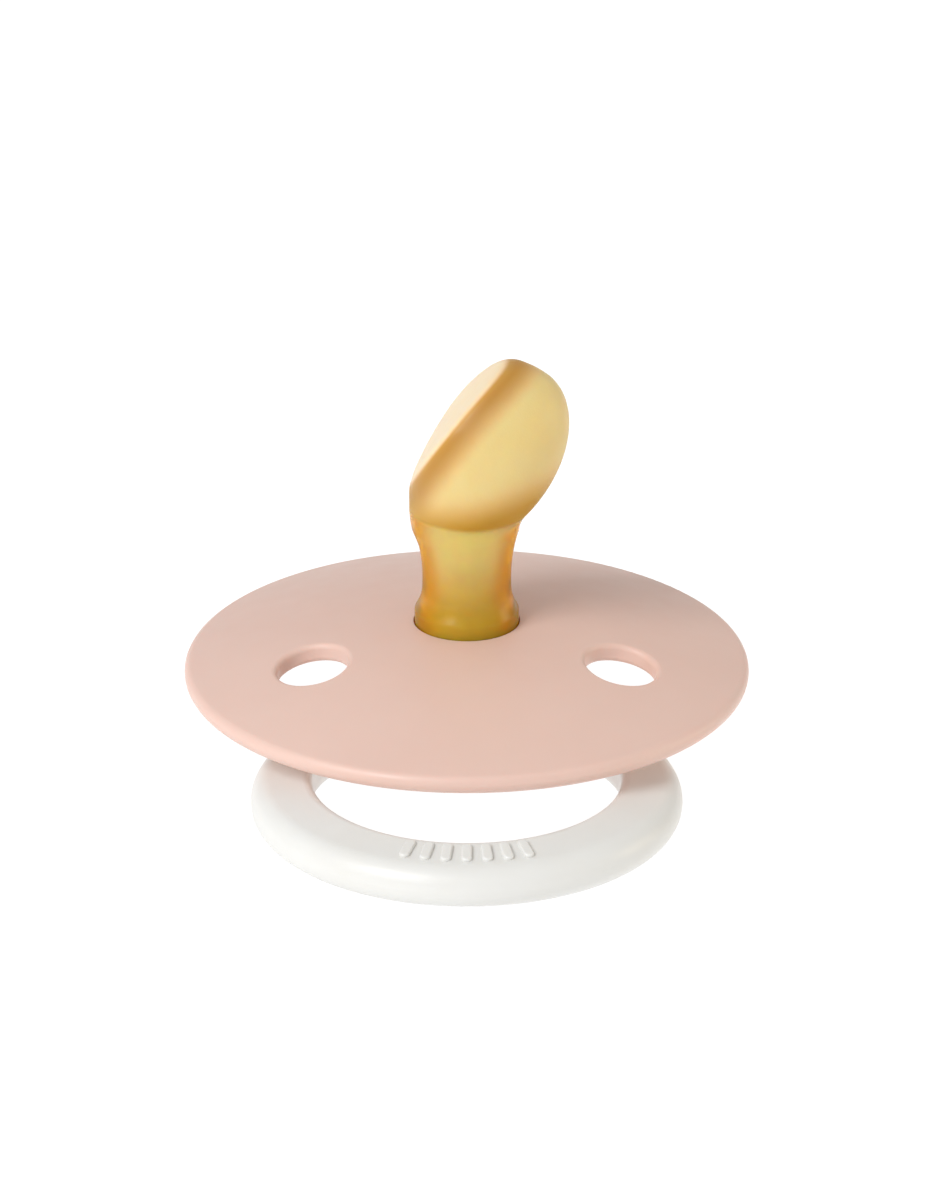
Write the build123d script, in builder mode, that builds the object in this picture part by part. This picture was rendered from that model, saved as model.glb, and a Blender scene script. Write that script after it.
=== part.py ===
from build123d import *
from math import atan2, degrees
import os

# Round-shield baby pacifier with a leaning latex teat and a hinged ring handle.
# Millimetres. The origin is the centre of the knob's flat outer face, and +Z
# runs through the shield to the tip of the teat. The ring handle is folded
# flat, towards -Y, so the pacifier rests on the knob's face and the ring.

# ---- driving dimensions ------------------------------------------------------
shield_d = 45.0  # guard diameter, wider than the 43 mm safety gauge
shield_edge_z = 6.13  # mid-height of the rim above the resting plane
shield_dome_rise = 3.6  # the dome's centre above its edge
shield_centre_t = 1.5
shield_edge_t = 1.65
shield_edge_round = 0.75

vent_x = 12.1  # the two breathing holes, on the ring's side of the teat
vent_y = -5.9
vent_length = 6.0
vent_width = 5.6
vent_round = 0.4

bore_r = 4.25  # the teat's neck fills this bore
collar_r = 7.0  # snap collar behind the dome
collar_inner_r = 6.2
collar_end_z = 4.7
seat_z = 8.5  # flat seat for the teat's flange, inside the collar

latex_t = 1.0
flange_t = 1.1
flange_r = 6.0
neck_waist_r = 3.55
neck_waist_z = 13.2
neck_top_r = 3.75
neck_top_z = 16.9
throat_r = 4.4  # where the neck opens out under the bulb
throat_z = 18.8
bulb_x = 1.4  # centre of the bulb, ahead of the neck's axis
bulb_z = 24.3
bulb_length = 17.0
bulb_thickness = 10.9
bulb_width = 12.5
bulb_lean = 32.0  # degrees from the neck's axis, towards +X
facet_lean = 34.5  # degrees: how far the flat tongue side leans
facet_offset = 4.15  # from the bulb's centre to the flat side

plug_stem_r = bore_r - latex_t
plug_tip_z = 14.0
plug_tip_r = 2.2
plug_flange_t = 1.1
plug_air_r = 1.0

knob_h = 4.6
knob_edge_round = 0.6
knob_groove_r = 4.4
knob_groove_w = 0.6
knob_groove_depth = 0.25
spigot_gap = 0.05

ring_mean_r = 14.4
ring_w = 4.8
ring_h = 3.95
ring_top_fall = 0.8  # the top face slopes down outwards by this much
ring_inner_round = 0.7  # inner top edge
ring_outer_round = 1.8  # outer top edge
ring_bottom_round = 1.5
side_gap = 0.3  # between each ring end and the knob's side
ring_end_round = 0.6
lug_length = 1.4
lug_r = 1.8
pin_r = 1.2
pin_gap = 0.05
pin_reach = 2.6  # how far each pin reaches into the knob
rib_count = 7
rib_step = 6.2  # degrees between the raised grip ribs on the ring's far side
rib_inset = 0.4  # how far the ribs sit inside the ring's mean radius
rib_length = 2.2
rib_w = 0.8
rib_h = 0.28
rib_round = 0.15
rib_sink = 0.3  # how deep each rib's root sits in the ring

# ---- derived places ----------------------------------------------------------
shield_r = shield_d / 2
edge_top_z = shield_edge_z + shield_edge_t / 2
edge_under_z = shield_edge_z - shield_edge_t / 2
dome_top_z = edge_top_z + shield_dome_rise
dome_under_z = dome_top_z - shield_centre_t
flange_under_z = seat_z - flange_t
plug_under_z = flange_under_z - plug_flange_t
hinge_z = ring_h / 2
ring_y = -ring_mean_r
ring_end_x = collar_r + side_gap
pin_end_x = collar_r - pin_reach
top_slope = degrees(atan2(ring_top_fall, ring_w))
rib_base_z = ring_h - ring_top_fall * (0.5 - rib_inset / ring_w)
bulb_plane = Plane((bulb_x, 0, bulb_z)).rotated((0, bulb_lean, 0))
facet_plane = Plane((bulb_x, 0, bulb_z)).rotated((0, facet_lean - 90, 0))

os.makedirs("parts", exist_ok=True)

# ---- shield: one domed moulding with its collar, bore and two vents -----------
with BuildPart() as shield:
    with BuildSketch(Plane.XZ):
        with BuildLine():
            ThreePointArc((-shield_r, edge_top_z), (0, dome_top_z), (shield_r, edge_top_z))
            Line((shield_r, edge_top_z), (shield_r, edge_under_z))
            ThreePointArc((shield_r, edge_under_z), (0, dome_under_z), (-shield_r, edge_under_z))
            Line((-shield_r, edge_under_z), (-shield_r, edge_top_z))
        rim_profile = make_face()
        fillet(rim_profile.vertices(), shield_edge_round)
        split(bisect_by=Plane.YZ, keep=Keep.TOP)
    revolve(axis=Axis.Z)
    with BuildSketch(Plane.XY.offset(collar_end_z)):
        Circle(collar_r)
    extrude(amount=dome_under_z - collar_end_z)
    with BuildSketch(Plane.XY.offset(collar_end_z)):
        Circle(collar_inner_r)
    extrude(amount=seat_z - collar_end_z, mode=Mode.SUBTRACT)
    with BuildSketch():
        Circle(bore_r)
    extrude(amount=dome_top_z, mode=Mode.SUBTRACT)
    with BuildSketch():
        with Locations((vent_x, vent_y), (-vent_x, vent_y)):
            Ellipse(vent_width / 2, vent_length / 2)
    extrude(amount=dome_top_z, mode=Mode.SUBTRACT)
    vent_walls = shield.faces().filter_by(GeomType.EXTRUSION)
    fillet(vent_walls.edges().filter_by(GeomType.LINE, reverse=True), vent_round)
shield.part.label = "shield"
export_step(shield.part, "parts/shield.step")

# ---- teat: hollow latex, a flange behind the shield, a waisted neck, a bulb ----


def teat_shape(inset, root_r):
    """The teat's closed outer form, or its hollow when inset is the wall's depth."""
    with BuildPart() as shape:
        Sphere(1)
        scale(by=(bulb_thickness / 2 - inset, bulb_width / 2 - inset, bulb_length / 2 - inset))
    with BuildPart() as form:
        add(bulb_plane * shape.part)
        with BuildSketch(Plane.XZ):
            with BuildLine():
                Spline(
                    (bore_r - inset, dome_top_z),
                    (neck_waist_r - inset, neck_waist_z),
                    (neck_top_r - inset, neck_top_z),
                    (throat_r - inset, throat_z),
                    tangents=[(0, 1), (0.6, 1)],
                )
                Polyline((throat_r - inset, throat_z), (0, bulb_z), (0, seat_z))
                Polyline((0, seat_z), (bore_r - inset, seat_z), (bore_r - inset, dome_top_z))
            make_face()
        revolve(axis=Axis.Z)
        with BuildSketch(Plane.XY.offset(flange_under_z)):
            Circle(root_r)
        extrude(amount=flange_t)
        split(bisect_by=facet_plane.offset(facet_offset - inset), keep=Keep.BOTTOM)
    return form.part


with BuildPart() as teat:
    add(teat_shape(0, flange_r))
    add(teat_shape(latex_t, plug_stem_r), mode=Mode.SUBTRACT)
teat.part.label = "teat"
export_step(teat.part, "parts/teat.step")

# ---- plug: the hollow nose that clamps the flange and spreads the neck ---------
with BuildPart() as plug:
    with BuildSketch(Plane.XZ):
        with BuildLine():
            Polyline(
                (plug_air_r, plug_under_z),
                (flange_r, plug_under_z),
                (flange_r, flange_under_z),
                (plug_stem_r, flange_under_z),
                (plug_stem_r, dome_top_z),
                (plug_tip_r, plug_tip_z),
                (plug_air_r, plug_tip_z),
                close=True,
            )
        make_face()
    revolve(axis=Axis.Z)
plug.part.label = "plug"
export_step(plug.part, "parts/plug.step")

# ---- knob: the round button that closes the collar and carries the hinge -------
with BuildPart() as knob:
    with BuildSketch():
        Circle(collar_r)
    extrude(amount=knob_h)
    fillet(knob.edges().group_by(Axis.Z)[0], knob_edge_round)
    with BuildSketch(Plane.XY.offset(knob_h)):
        Circle(collar_inner_r - spigot_gap)
    extrude(amount=plug_under_z - knob_h)
    with BuildSketch():
        Circle(knob_groove_r + knob_groove_w / 2)
        Circle(knob_groove_r - knob_groove_w / 2, mode=Mode.SUBTRACT)
    extrude(amount=knob_groove_depth, mode=Mode.SUBTRACT)
    for side in (Plane.YZ, -Plane.YZ):
        with BuildSketch(side.offset(pin_end_x - pin_gap)):
            with Locations(side.offset(pin_end_x - pin_gap).to_local_coords(Vector(0, 0, hinge_z))):
                Circle(pin_r + pin_gap)
        extrude(amount=collar_r, mode=Mode.SUBTRACT)
knob.part.label = "knob"
export_step(knob.part, "parts/knob.step")

# ---- ring handle: an open ring whose ends carry the hinge lugs and pins --------
with BuildPart() as rib:
    with BuildSketch():
        SlotOverall(rib_length, rib_w)
    extrude(amount=rib_sink + rib_h)
    fillet(rib.faces().sort_by(Axis.Z)[-1].edges(), rib_round)

with BuildPart() as ring_handle:
    with BuildSketch(Plane.XZ.offset(ring_mean_r)) as section:
        with BuildLine():
            Polyline(
                (ring_mean_r - ring_w / 2, 0),
                (ring_mean_r + ring_w / 2, 0),
                (ring_mean_r + ring_w / 2, ring_h - ring_top_fall),
                (ring_mean_r - ring_w / 2, ring_h),
                close=True,
            )
        make_face()
        fillet(section.vertices().sort_by(Axis.Y)[-1], ring_inner_round)
        fillet(section.vertices().group_by(Axis.X)[-1].sort_by(Axis.Y)[-1], ring_outer_round)
        fillet(section.vertices().group_by(Axis.Y)[0], ring_bottom_round)
    revolve(axis=Axis((0, ring_y, 0), (0, 0, 1)))
    with BuildSketch():
        Rectangle(2 * ring_end_x, 2 * ring_mean_r)
    extrude(amount=ring_h, mode=Mode.SUBTRACT)
    ring_ends = ring_handle.faces().filter_by(Axis.X)
    fillet(ring_ends.edges(), ring_end_round)
    for side in (1, -1):
        lug_plane = Plane((side * ring_end_x, 0, hinge_z), x_dir=(0, 1, 0), z_dir=(side, 0, 0))
        with BuildSketch(lug_plane):
            Circle(lug_r)
        extrude(amount=lug_length)
        with BuildSketch(lug_plane):
            Circle(pin_r)
        extrude(amount=pin_end_x - ring_end_x)
        with Locations((side * (ring_end_x + lug_length), 0, hinge_z)):
            Sphere(lug_r)
    for place in range(rib_count):
        turn = rib_step * (place - (rib_count - 1) / 2) - 90
        spoke = Location((0, ring_y, 0), (0, 0, turn))
        on_top = Location((ring_mean_r - rib_inset, 0, rib_base_z), (0, top_slope, 0))
        add(spoke * on_top * Location((0, 0, -rib_sink)) * rib.part)
ring_handle.part.label = "ring_handle"
export_step(ring_handle.part, "parts/ring_handle.step")
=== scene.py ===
"""Studio model of a round-shield pacifier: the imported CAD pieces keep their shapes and
get moulded-plastic materials, and the soft latex teat is modelled here as a hollow skin."""

import math

import bpy
import numpy as np
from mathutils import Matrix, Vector


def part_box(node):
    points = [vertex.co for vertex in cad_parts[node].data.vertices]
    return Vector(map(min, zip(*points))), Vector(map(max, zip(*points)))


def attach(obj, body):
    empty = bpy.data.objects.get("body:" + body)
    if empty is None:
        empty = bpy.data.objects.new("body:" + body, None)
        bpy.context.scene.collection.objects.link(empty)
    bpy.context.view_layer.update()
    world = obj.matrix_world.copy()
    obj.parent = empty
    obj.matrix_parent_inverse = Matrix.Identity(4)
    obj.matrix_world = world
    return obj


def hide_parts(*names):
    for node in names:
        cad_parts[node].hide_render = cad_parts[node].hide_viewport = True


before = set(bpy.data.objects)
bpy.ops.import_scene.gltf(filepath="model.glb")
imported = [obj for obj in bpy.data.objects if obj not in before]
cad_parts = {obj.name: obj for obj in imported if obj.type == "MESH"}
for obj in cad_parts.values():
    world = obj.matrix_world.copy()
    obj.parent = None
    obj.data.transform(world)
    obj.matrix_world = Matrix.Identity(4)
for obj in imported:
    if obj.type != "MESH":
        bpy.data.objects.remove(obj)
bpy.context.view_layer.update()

MM = 0.001
SHIELD_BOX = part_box("shield")
TEAT_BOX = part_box("teat")

# ---- where the teat meets the other pieces, in millimetres ------------------------
SHIELD_TOP = SHIELD_BOX[1].z / MM
TEAT_ROOT = TEAT_BOX[0].z / MM
FLANGE_R = 6.0
FLANGE_EDGE = 0.25  # the flange's softened edges
FLANGE_T = 1.1
SEAT = TEAT_ROOT + FLANGE_T
BORE_GAP_R = 4.1  # the neck inside the shield's bore
BORE_RING = SEAT + 1.0  # a ring that keeps the neck straight inside the bore
STEM_R = 3.25  # the plug's stem, which fills the neck's foot
STEM_TOP = SHIELD_TOP - 0.6
LATEX_T = 0.9

# ---- the teat's shape -----------------------------------------------------------
NECK_WAIST_R = 3.53
NECK_FLARE = 0.74  # how much wider the neck is just above the shield
NECK_FLARE_Z = SHIELD_TOP + 0.5
NECK_FLARE_SPREAD = 1.25
NECK_OPEN_Z = 14.2  # where the neck starts to open out under the bulb
THROAT_Z = 18.7
NECK_RISE_LIMIT = 1.4  # it stops after this many times the way up to the throat
THROAT_OPENING = 0.72
THROAT_TOP_R = 4.15  # the neck's largest radius, inside the bulb
NECK_IN_BULB = 3.0  # how far the neck runs on above the throat
BULB_CENTRE = (1.45, 24.45)  # along the lean, and up
BULB_HALF_LENGTH = 8.5
BULB_HALF_WIDTH = 6.25
BULB_TAPER = 0.13  # how much narrower the bulb gets towards its tip
BULB_FOOT_TAPER = 0.42  # and towards its foot, where it sits on the neck
TAPER_LIMIT = 1.2  # the tip's taper stops this many half lengths out
PALATE_DEPTH = 5.45  # from the bulb's centre to its round side
TONGUE_DEPTH = 8.0  # the same to the flat side, before the flat cuts it
BULB_LEAN = 35.0  # degrees from upright
BULB_YAW = 7.5  # the lean points this many degrees towards the viewer's side
FACET_LEAN = 34.3  # degrees from upright
FACET_OFFSET = 4.15  # from the bulb's centre to the tongue face
FACET_CURVE_R = 33.0  # the tongue face bows outwards along the bulb
CREASE_ROUND, TIP_CREASE_ROUND = 0.45, 1.2
HEEL_X, HEEL_HALF_WIDTH = 4.42, 6.3  # the bulb's upright back, over the neck
HEEL_CENTRE = 1.5  # its outline is round behind this and straight-sided ahead of it
HEEL_ROUND = 1.2
THROAT_ROUND = 0.9
TINY = 1e-9  # keeps divisions safe at an oval's centre


def teat_directions():
    """The teat's own directions: its lean on the level, across it, and up."""
    yaw = math.radians(BULB_YAW)
    lean_way = np.array([math.cos(yaw), -math.sin(yaw), 0.0])
    across = np.array([math.sin(yaw), math.cos(yaw), 0.0])
    return lean_way, across, np.array([0.0, 0.0, 1.0])


LEAN_WAY, ACROSS, UP = teat_directions()


def leaned_axes(degrees):
    """The way along a line that leans from upright, and the way square to it."""
    lean = math.radians(degrees)
    along = math.sin(lean) * LEAN_WAY + math.cos(lean) * UP
    return along, math.cos(lean) * LEAN_WAY - math.sin(lean) * UP


LONG, SHORT = leaned_axes(BULB_LEAN)
FACET_ALONG, FACET_IN = leaned_axes(FACET_LEAN)
FACET_OUT = -FACET_IN
BULB_AT = BULB_CENTRE[0] * LEAN_WAY + BULB_CENTRE[1] * UP
FACET_CURVE_AT = BULB_AT + FACET_OUT * (FACET_OFFSET - FACET_CURVE_R)


def blend_min(a, b, width):
    """The smaller of two distances, with the join rounded over a width."""
    near = np.maximum(width - np.abs(a - b), 0) / width
    return np.minimum(a, b) - near * near * width / 4


def blend_max(a, b, width):
    return -blend_min(-a, -b, width)


def neck_radius(z):
    flare = NECK_FLARE * np.exp(-(((z - NECK_FLARE_Z) / NECK_FLARE_SPREAD) ** 2))
    rise = np.clip((z - NECK_OPEN_Z) / (THROAT_Z - NECK_OPEN_Z), 0, NECK_RISE_LIMIT)
    return np.minimum(NECK_WAIST_R + flare + THROAT_OPENING * rise**2, THROAT_TOP_R)


def oval_distance(local, half):
    """Roughly how far points are outside an oval, from their places in its own frame."""
    share = local / half
    size = np.linalg.norm(share, axis=-1) + TINY
    return size * (size - 1) / (np.linalg.norm(share / half, axis=-1) + TINY)


def teat_distance(points):
    """Roughly how far each point is outside the teat's skin: below zero inside."""
    rel = points - BULB_AT
    along, down, side = rel @ LONG, rel @ SHORT, rel @ ACROSS
    depth = np.where(down < 0, TONGUE_DEPTH, PALATE_DEPTH)
    share = np.clip(along / BULB_HALF_LENGTH, -1, TAPER_LIMIT)
    foot = np.maximum(-share, 0)
    width = BULB_HALF_WIDTH * (1 - BULB_TAPER * share - BULB_FOOT_TAPER * foot * foot)
    length = np.full_like(depth, BULB_HALF_LENGTH)
    bulb = oval_distance(np.stack([along, down, side], -1), np.stack([length, depth, width], -1))
    back = np.minimum(points @ LEAN_WAY - HEEL_CENTRE, 0)
    heel_half = np.array([HEEL_X + HEEL_CENTRE, HEEL_HALF_WIDTH])
    heel = oval_distance(np.stack([back, points @ ACROSS], -1), heel_half)
    bulb = blend_max(bulb, heel, HEEL_ROUND)
    z = points[..., 2]
    from_axis = np.hypot(points[..., 0], points[..., 1])
    neck = np.maximum(from_axis - neck_radius(z), z - THROAT_Z - NECK_IN_BULB)
    body = blend_min(bulb, neck, THROAT_ROUND)
    arm = points - FACET_CURVE_AT
    facet = np.hypot(arm @ FACET_OUT, arm @ FACET_ALONG) - FACET_CURVE_R
    tipward = np.clip(along / BULB_HALF_LENGTH, 0, 1) ** 3
    crease = CREASE_ROUND + (TIP_CREASE_ROUND - CREASE_ROUND) * tipward
    return blend_max(body, facet, crease)


AROUND, NECK_RINGS, BEND_RINGS, TIP_RINGS = 160, 40, 64, 48
BEND_Z = 16.5  # the rings stop being level here and turn towards the bulb's lean
FAR_ENOUGH = 14.0  # no skin point is this far from its start
HALVINGS = 26


def teat_rings(wall):
    """Rings of points from the neck's foot to the tip, a wall's depth under the skin."""
    angle = np.linspace(0, 2 * np.pi, AROUND, endpoint=False)
    turn_x, turn_y = np.cos(angle)[:, None], np.sin(angle)[:, None]
    starts, ways = [], []
    for step in range(NECK_RINGS):
        z = SHIELD_TOP + (BEND_Z - SHIELD_TOP) * step / NECK_RINGS
        starts.append(np.tile(z * UP, (AROUND, 1)))
        ways.append(turn_x * LEAN_WAY + turn_y * ACROSS)
    for step in range(BEND_RINGS):
        part = step / BEND_RINGS
        ease = part * part * (3 - 2 * part)
        tilt = math.radians(BULB_LEAN) * ease
        out = math.cos(tilt) * LEAN_WAY - math.sin(tilt) * UP
        starts.append(np.tile(BEND_Z * UP * (1 - part) + BULB_AT * part, (AROUND, 1)))
        ways.append(turn_x * out + turn_y * ACROSS)
    for step in range(TIP_RINGS):
        rise = math.pi / 2 * step / TIP_RINGS
        starts.append(np.tile(BULB_AT, (AROUND, 1)))
        ways.append(math.cos(rise) * (turn_x * SHORT + turn_y * ACROSS) + math.sin(rise) * LONG)
    starts.append(np.tile(BULB_AT, (AROUND, 1)))
    ways.append(np.tile(LONG, (AROUND, 1)))
    starts, ways = np.array(starts), np.array(ways)
    near, far = np.zeros(starts.shape[:2]), np.full(starts.shape[:2], FAR_ENOUGH)
    for _ in range(HALVINGS):
        middle = (near + far) / 2
        inside = teat_distance(starts + ways * middle[..., None]) + wall < 0
        near, far = np.where(inside, middle, near), np.where(inside, far, middle)
    return list(starts + ways * ((near + far) / 2)[..., None])


def level_ring(radius, z):
    angle = np.linspace(0, 2 * np.pi, AROUND, endpoint=False)[:, None]
    return radius * (np.cos(angle) * LEAN_WAY + np.sin(angle) * ACROSS) + z * UP


def rings_to_mesh(name, rings):
    """A closed skin through rings of equal length; the first and last are single points."""
    count = len(rings[0])
    points = [rings[0][0]] + [p for ring in rings[1:-1] for p in ring] + [rings[-1][0]]
    faces = []
    last = len(points) - 1
    body = len(rings) - 2
    for i in range(count):
        j = (i + 1) % count
        faces.append((0, 1 + i, 1 + j))
        for k in range(body - 1):
            a, b = 1 + k * count, 1 + (k + 1) * count
            faces.append((a + j, a + i, b + i, b + j))
        a = 1 + (body - 1) * count
        faces.append((a + j, a + i, last))
    mesh = bpy.data.meshes.new(name)
    mesh.from_pydata([tuple(p * MM) for p in points], [], faces)
    mesh.validate()
    mesh.shade_smooth()
    piece = bpy.data.objects.new(name, mesh)
    bpy.context.scene.collection.objects.link(piece)
    return piece


def make_teat():
    skin = teat_rings(0.0)
    hollow = teat_rings(LATEX_T)
    foot = [
        level_ring(BORE_GAP_R, BORE_RING),
        level_ring(BORE_GAP_R, SEAT + FLANGE_EDGE),
        level_ring(BORE_GAP_R + FLANGE_EDGE, SEAT),
        level_ring(FLANGE_R - FLANGE_EDGE, SEAT),
        level_ring(FLANGE_R, SEAT - FLANGE_EDGE),
        level_ring(FLANGE_R, TEAT_ROOT + FLANGE_EDGE),
        level_ring(FLANGE_R - FLANGE_EDGE, TEAT_ROOT),
        level_ring(STEM_R, TEAT_ROOT),
        level_ring(STEM_R, SEAT),
        level_ring(STEM_R, STEM_TOP),
    ]
    piece = rings_to_mesh("latex_teat", skin[::-1] + foot + hollow)
    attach(piece, "guard")
    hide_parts("teat")
    return piece


# ---- materials --------------------------------------------------------------------


def new_material(name):
    material = bpy.data.materials.new(name)
    material.use_nodes = True
    tree = material.node_tree
    tree.nodes.clear()
    out = tree.nodes.new("ShaderNodeOutputMaterial")
    return material, tree, out


def noise(tree, coords, scale, detail, roughness):
    node = tree.nodes.new("ShaderNodeTexNoise")
    node.inputs["Scale"].default_value = scale
    node.inputs["Detail"].default_value = detail
    node.inputs["Roughness"].default_value = roughness
    tree.links.new(coords, node.inputs["Vector"])
    return node.outputs["Fac"]


def mottle(tree, coords, scale, dark, light):
    """A cloudy drift between two close colours."""
    cloud = noise(tree, coords, scale, detail=4.0, roughness=0.55)
    node = tree.nodes.new("ShaderNodeValToRGB")
    for element, place, colour in zip(node.color_ramp.elements, MOTTLE_STOPS, (dark, light)):
        element.position = place
        element.color = colour
    tree.links.new(cloud, node.inputs["Fac"])
    return node.outputs["Color"]


def rgb(r, g, b):
    """Linear colour from display values of 0 to 255."""
    def linear(v):
        v /= 255
        return v / 12.92 if v <= 0.04045 else ((v + 0.055) / 1.055) ** 2.4
    return (linear(r), linear(g), linear(b), 1.0)


BELLY_LIGHT = rgb(255, 228, 164)
BELLY_DARK = rgb(254, 222, 152)
# painted shade: the darker amber band just under the tongue face's crease
CREASE_PAINTED_SHADE = rgb(206, 158, 74)
# painted sheen: the tongue face paler and whiter, as where the key light glances off it
TONGUE_FACE_PAINTED_SHEEN = rgb(253, 218, 178)
# painted shade: the bulb darker at its foot, where it turns under towards the neck
BULB_FOOT_PAINTED_SHADE = rgb(212, 168, 52)
NECK_CLEAR = rgb(255, 253, 225)
# painted edge shade: deeper amber on the neck's sides, for the longer path through the wall seen
# edge-on
NECK_FLANK_PAINTED_SHADE = rgb(236, 178, 22)
NECK_FLANK_CLEAR_PAINTED_SHADE = rgb(255, 214, 70)
NECK_TOP = rgb(255, 240, 165)
# painted shade: the neck darker towards its foot, near the shield and the plug behind it
NECK_FOOT_PAINTED_SHADE = rgb(212, 176, 44)
FOOT_SHADE = (-250.0, 0.0, 1000.0)  # metres to millimetres, up and away from the lean
CREASE_SHADE = (0.7, 2.9)  # millimetres under the facet, where the shaded band fades
FACET_EDGE = (0.05, 0.35)
FOOT_BAND = (20.2, 24.0)  # along FOOT_SHADE, where the bulb's painted foot shade fades
NECK_FADE = (11.5, 17.5)  # heights over which the neck's painted foot shade fades
FROST_BAND = (19.7, 20.5)  # heights: the frosted bulb starts here, over the glossy neck
FLANK_BAND = (0.5, 0.97)  # how sideways the skin faces, where the painted edge shade comes in
RUB_RANGE = (0.3, 0.7)  # the part of a noise that changes the gloss
MOTTLE_STOPS = (0.35, 0.65)


def math_node(tree, operation, first, second=None):
    node = tree.nodes.new("ShaderNodeMath")
    node.operation = operation
    tree.links.new(first, node.inputs[0])
    if isinstance(second, float):
        node.inputs[1].default_value = second
    elif second is not None:
        tree.links.new(second, node.inputs[1])
    return node.outputs["Value"]


def dot(tree, first, second):
    node = tree.nodes.new("ShaderNodeVectorMath")
    node.operation = "DOT_PRODUCT"
    tree.links.new(first, node.inputs[0])
    if isinstance(second, tuple):
        node.inputs[1].default_value = second
    else:
        tree.links.new(second, node.inputs[1])
    return node.outputs["Value"]


def depth_under_facet(tree, coords):
    """Millimetres under the teat's curved tongue face, from object coordinates."""
    arm = tree.nodes.new("ShaderNodeVectorMath")
    arm.operation = "SUBTRACT"
    tree.links.new(coords, arm.inputs[0])
    arm.inputs[1].default_value = tuple(FACET_CURVE_AT * MM)
    side = dot(tree, arm.outputs["Vector"], tuple(ACROSS))
    whole = dot(tree, arm.outputs["Vector"], arm.outputs["Vector"])
    level = math_node(tree, "SUBTRACT", whole, math_node(tree, "MULTIPLY", side, side))
    reach = math_node(tree, "DIVIDE", math_node(tree, "SQRT", level), MM)
    depth = math_node(tree, "SUBTRACT", reach, FACET_CURVE_R)
    return math_node(tree, "MULTIPLY", depth, -1.0)


def blend_colour(tree, factor, first, second):
    node = tree.nodes.new("ShaderNodeMix")
    node.data_type = "RGBA"
    tree.links.new(factor, node.inputs[0])
    for value, socket in ((first, node.inputs[6]), (second, node.inputs[7])):
        if isinstance(value, tuple):
            socket.default_value = value
        else:
            tree.links.new(value, socket)
    return node.outputs[2]


def map_range(tree, source, from_range, to_range=(0.0, 1.0), steps="LINEAR"):
    node = tree.nodes.new("ShaderNodeMapRange")
    node.interpolation_type = steps
    node.inputs["From Min"].default_value, node.inputs["From Max"].default_value = from_range
    node.inputs["To Min"].default_value, node.inputs["To Max"].default_value = to_range
    tree.links.new(source, node.inputs["Value"])
    return node.outputs["Result"]


def smooth_step(tree, source, from_range):
    return map_range(tree, source, from_range, steps="SMOOTHSTEP")


def moulded_plastic(name, light, dark, roughness, subsurface, radius):
    """Satin moulded polypropylene: faint flow marks, a fine spark-eroded grain."""
    material, tree, out = new_material(name)
    coords = tree.nodes.new("ShaderNodeTexCoord").outputs["Object"]
    shader = tree.nodes.new("ShaderNodeBsdfPrincipled")
    colour = mottle(tree, coords, scale=90.0, dark=dark, light=light)
    tree.links.new(colour, shader.inputs["Base Color"])
    rub = noise(tree, coords, scale=420.0, detail=3.0, roughness=0.6)
    worn = map_range(tree, rub, RUB_RANGE, (roughness - 0.05, roughness + 0.05))
    tree.links.new(worn, shader.inputs["Roughness"])
    grain = noise(tree, coords, scale=5200.0, detail=2.0, roughness=0.5)
    bump = tree.nodes.new("ShaderNodeBump")
    bump.inputs["Strength"].default_value = 0.10
    bump.inputs["Distance"].default_value = 0.00002
    tree.links.new(grain, bump.inputs["Height"])
    tree.links.new(bump.outputs["Normal"], shader.inputs["Normal"])
    shader.inputs["IOR"].default_value = 1.49
    shader.inputs["Subsurface Weight"].default_value = subsurface
    shader.inputs["Subsurface Radius"].default_value = radius
    shader.inputs["Subsurface Scale"].default_value = 0.001
    tree.links.new(shader.outputs["BSDF"], out.inputs["Surface"])
    return material


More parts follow.
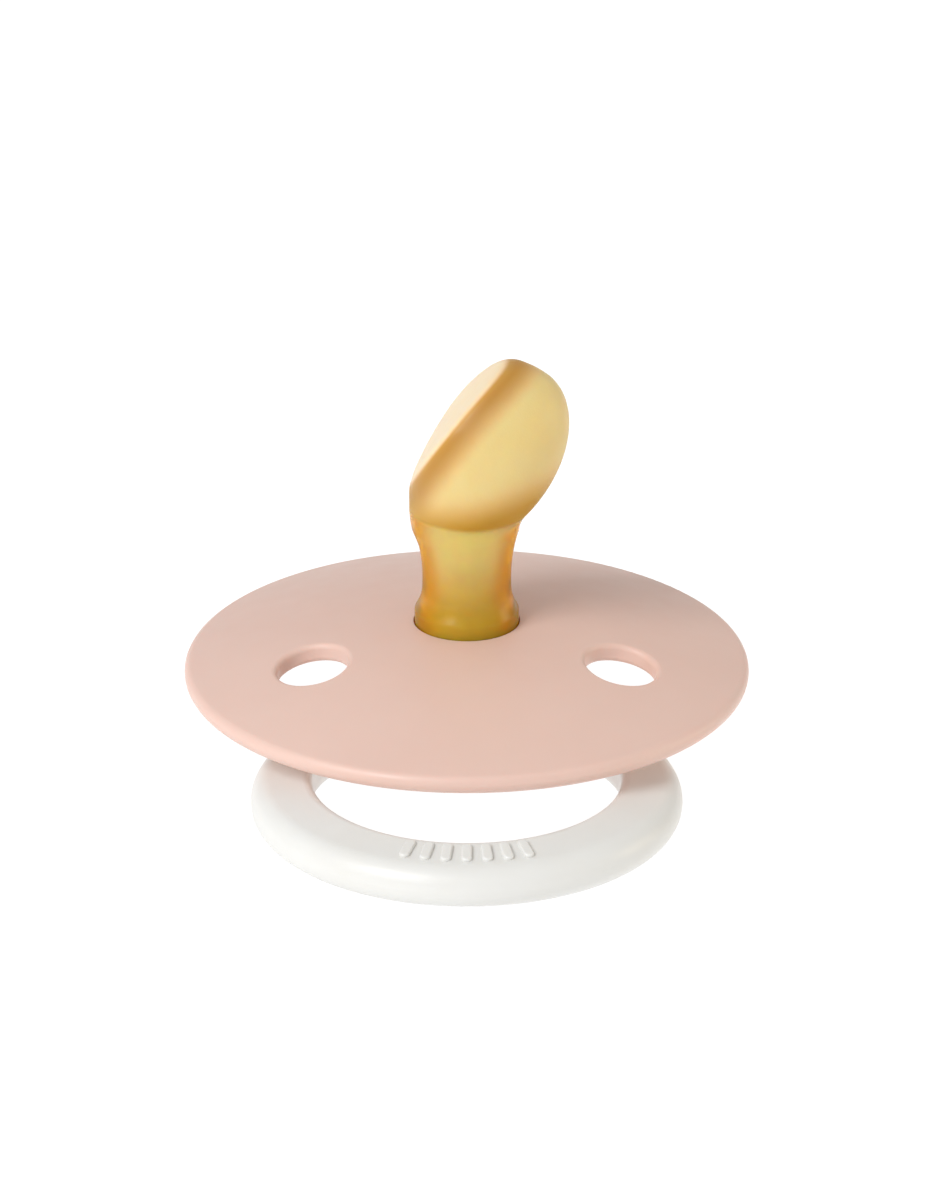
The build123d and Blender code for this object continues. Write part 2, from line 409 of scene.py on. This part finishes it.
def latex():
    """Amber natural latex: a frosted, milky bulb on a glossier, clearer neck, with painted shade
    and a painted sheen in its colours.
    """
    material, tree, out = new_material("amber_latex")
    places = tree.nodes.new("ShaderNodeTexCoord")
    coords = places.outputs["Object"]
    split = tree.nodes.new("ShaderNodeSeparateXYZ")
    tree.links.new(coords, split.inputs["Vector"])
    height = math_node(tree, "DIVIDE", split.outputs["Z"], MM)

    belly = mottle(tree, coords, scale=160.0, dark=BELLY_DARK, light=BELLY_LIGHT)
    depth = depth_under_facet(tree, coords)
    # painted shade: a darker band under the crease, fading with depth under the tongue face
    painted_crease_shade_mask = smooth_step(tree, depth, CREASE_SHADE)
    bulb_colour = blend_colour(tree, painted_crease_shade_mask, CREASE_PAINTED_SHADE, belly)
    # painted sheen: the paler colour on the tongue face itself
    painted_sheen_mask = smooth_step(tree, depth, FACET_EDGE)
    bulb_colour = blend_colour(tree, painted_sheen_mask, TONGUE_FACE_PAINTED_SHEEN, bulb_colour)
    # painted shade: the bulb's foot darkened, lower and on the side away from the lean
    painted_foot_shade_mask = smooth_step(tree, dot(tree, coords, FOOT_SHADE), FOOT_BAND)
    bulb_colour = blend_colour(tree, painted_foot_shade_mask, BULB_FOOT_PAINTED_SHADE, bulb_colour)
    # painted shade: the neck fades from a darker foot up to NECK_TOP
    neck_colour_painted_shade = blend_colour(tree, smooth_step(tree, height, NECK_FADE), NECK_FOOT_PAINTED_SHADE, NECK_TOP)
    # painted edge shade: the sides facing along x get the deeper amber
    painted_edge_shade = math_node(tree, "ABSOLUTE", dot(tree, places.outputs["Normal"], (1.0, 0.0, 0.0)))
    painted_edge_shade = smooth_step(tree, painted_edge_shade, FLANK_BAND)
    body_colour = blend_colour(tree, painted_edge_shade, neck_colour_painted_shade, NECK_FLANK_PAINTED_SHADE)
    clear_colour = blend_colour(tree, painted_edge_shade, NECK_CLEAR, NECK_FLANK_CLEAR_PAINTED_SHADE)

    rub = noise(tree, coords, scale=900.0, detail=3.0, roughness=0.6)
    grain = noise(tree, coords, scale=3600.0, detail=2.0, roughness=0.6)
    frost = tree.nodes.new("ShaderNodeBump")
    frost.inputs["Strength"].default_value = 0.35
    frost.inputs["Distance"].default_value = 0.00003
    tree.links.new(grain, frost.inputs["Height"])

    bulb = tree.nodes.new("ShaderNodeBsdfPrincipled")
    tree.links.new(bulb_colour, bulb.inputs["Base Color"])
    tree.links.new(map_range(tree, rub, RUB_RANGE, (0.34, 0.46)), bulb.inputs["Roughness"])
    tree.links.new(frost.outputs["Normal"], bulb.inputs["Normal"])
    bulb.inputs["IOR"].default_value = 1.45
    bulb.inputs["Subsurface Weight"].default_value = 0.95
    bulb.inputs["Subsurface Radius"].default_value = (1.0, 0.8, 0.5)
    bulb.inputs["Subsurface Scale"].default_value = 0.0014
    glow = tree.nodes.new("ShaderNodeBsdfTranslucent")
    tree.links.new(bulb_colour, glow.inputs["Color"])
    frosted = tree.nodes.new("ShaderNodeMixShader")
    tree.links.new(map_range(tree, depth, (0.0, 0.6), (0.03, 0.25)), frosted.inputs["Fac"])
    tree.links.new(bulb.outputs["BSDF"], frosted.inputs[1])
    tree.links.new(glow.outputs["BSDF"], frosted.inputs[2])

    body = tree.nodes.new("ShaderNodeBsdfPrincipled")
    tree.links.new(body_colour, body.inputs["Base Color"])
    body.inputs["Roughness"].default_value = 0.25
    body.inputs["IOR"].default_value = 1.4
    body.inputs["Subsurface Weight"].default_value = 1.0
    body.inputs["Subsurface Radius"].default_value = (1.0, 0.6, 0.2)
    body.inputs["Subsurface Scale"].default_value = 0.001
    clear = tree.nodes.new("ShaderNodeBsdfPrincipled")
    tree.links.new(clear_colour, clear.inputs["Base Color"])
    clear.inputs["Roughness"].default_value = 0.2
    clear.inputs["IOR"].default_value = 1.18
    clear.inputs["Transmission Weight"].default_value = 1.0
    neck = tree.nodes.new("ShaderNodeMixShader")
    neck.inputs["Fac"].default_value = 0.6
    tree.links.new(body.outputs["BSDF"], neck.inputs[1])
    tree.links.new(clear.outputs["BSDF"], neck.inputs[2])

    joined = tree.nodes.new("ShaderNodeMixShader")
    tree.links.new(smooth_step(tree, height, FROST_BAND), joined.inputs["Fac"])
    tree.links.new(neck.outputs["Shader"], joined.inputs[1])
    tree.links.new(frosted.outputs["Shader"], joined.inputs[2])
    tree.links.new(joined.outputs["Shader"], out.inputs["Surface"])
    amber = tree.nodes.new("ShaderNodeVolumeAbsorption")
    amber.inputs["Color"].default_value = (0.995, 0.84, 0.06, 1)
    amber.inputs["Density"].default_value = 750.0
    tree.links.new(amber.outputs["Volume"], out.inputs["Volume"])
    return material


def dress(node_name, material):
    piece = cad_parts[node_name]
    piece.data.materials.clear()
    piece.data.materials.append(material)


# ---- the room -----------------------------------------------------------------------

EYE_ELEVATION = 23.55  # degrees
EYE_DISTANCE = 0.45  # metres
LENS, SENSOR = 169.05, 36.0  # millimetres
RIM_HEIGHT = 6.3  # millimetres, about the middle of the shield's rim
LOOK_ABOVE_RIM = 5.35  # millimetres, in the picture's plane
LOOK_RIGHT_OF_AXIS = 0.18
LIGHT_AIM = Vector((0, 0, 0.012))  # metres, like the lights' places
FLOOR_REACH = 3.0
FLOOR_DROP = 0.00005  # keeps the floor clear of the pieces that rest on it


def make_camera():
    tilt = math.radians(EYE_ELEVATION)
    back = Vector((0, -math.cos(tilt), math.sin(tilt)))
    up = Vector((0, math.sin(tilt), math.cos(tilt)))
    target = Vector((LOOK_RIGHT_OF_AXIS * MM, 0, RIM_HEIGHT * MM)) + up * (LOOK_ABOVE_RIM * MM)
    data = bpy.data.cameras.new("camera")
    data.sensor_width = SENSOR
    data.lens = LENS
    data.clip_start = 0.01
    camera = bpy.data.objects.new("camera", data)
    camera.location = target + back * EYE_DISTANCE
    camera.rotation_mode = "QUATERNION"
    camera.rotation_quaternion = (-back).to_track_quat("-Z", "Y")
    bpy.context.scene.collection.objects.link(camera)
    bpy.context.scene.camera = camera


def make_area(name, place, size, power, colour=(1, 1, 1)):
    data = bpy.data.lights.new(name, "AREA")
    data.shape = "RECTANGLE"
    data.size, data.size_y = size
    data.energy = power
    data.color = colour
    lamp = bpy.data.objects.new(name, data)
    lamp.location = place
    aim = LIGHT_AIM - Vector(place)
    lamp.rotation_mode = "QUATERNION"
    lamp.rotation_quaternion = aim.to_track_quat("-Z", "Y")
    bpy.context.scene.collection.objects.link(lamp)


def make_floor():
    mesh = bpy.data.meshes.new("floor")
    turns = ((-1, -1), (1, -1), (1, 1), (-1, 1))
    corners = [(x * FLOOR_REACH, y * FLOOR_REACH, 0) for x, y in turns]
    mesh.from_pydata(corners, [], [(0, 1, 2, 3)])
    floor = bpy.data.objects.new("floor", mesh)
    floor.location.z = -FLOOR_DROP
    bpy.context.scene.collection.objects.link(floor)
    material, tree, out = new_material("pale_floor")
    shader = tree.nodes.new("ShaderNodeBsdfPrincipled")
    shader.inputs["Base Color"].default_value = (0.15, 0.15, 0.15, 1)
    shader.inputs["Roughness"].default_value = 0.8
    shader.inputs["Specular IOR Level"].default_value = 0.2
    shader.inputs["Emission Color"].default_value = (1, 1, 1, 1)
    shader.inputs["Emission Strength"].default_value = 0.95
    tree.links.new(shader.outputs["BSDF"], out.inputs["Surface"])
    mesh.materials.append(material)


def light_room():
    world = bpy.data.worlds.new("studio")
    bpy.context.scene.world = world
    world.use_nodes = True
    background = world.node_tree.nodes["Background"]
    background.inputs["Color"].default_value = (1, 1, 1, 1)
    background.inputs["Strength"].default_value = 0.55
    make_area("key", place=(-0.43, -0.45, 0.52), size=(0.35, 0.35), power=4.1)
    warm = (1.0, 0.82, 0.55)
    make_area("side", place=(0.5, 0.05, 0.1), size=(0.2, 0.2), power=0.45, colour=warm)
    view = bpy.context.scene.view_settings
    view.view_transform = "Standard"
    view.look = "None"


make_camera()
light_room()
make_floor()
teat = make_teat()
teat.data.materials.append(latex())
blush = moulded_plastic(
    "blush_plastic",
    light=rgb(226, 194, 181),
    dark=rgb(224, 191, 178),
    roughness=0.42,
    subsurface=0.2,
    radius=(1.0, 0.5, 0.4),
)
ivory = moulded_plastic(
    "ivory_plastic",
    light=rgb(227, 227, 224),
    dark=rgb(224, 223, 219),
    roughness=0.36,
    subsurface=0.25,
    radius=(1.0, 0.95, 0.85),
)
natural = moulded_plastic(
    "natural_plastic",
    light=rgb(244, 236, 208),
    dark=rgb(240, 231, 200),
    roughness=0.4,
    subsurface=0.3,
    radius=(1.0, 0.9, 0.7),
)
dress("shield", blush)
dress("ring_handle", ivory)
dress("knob", ivory)
dress("plug", natural)
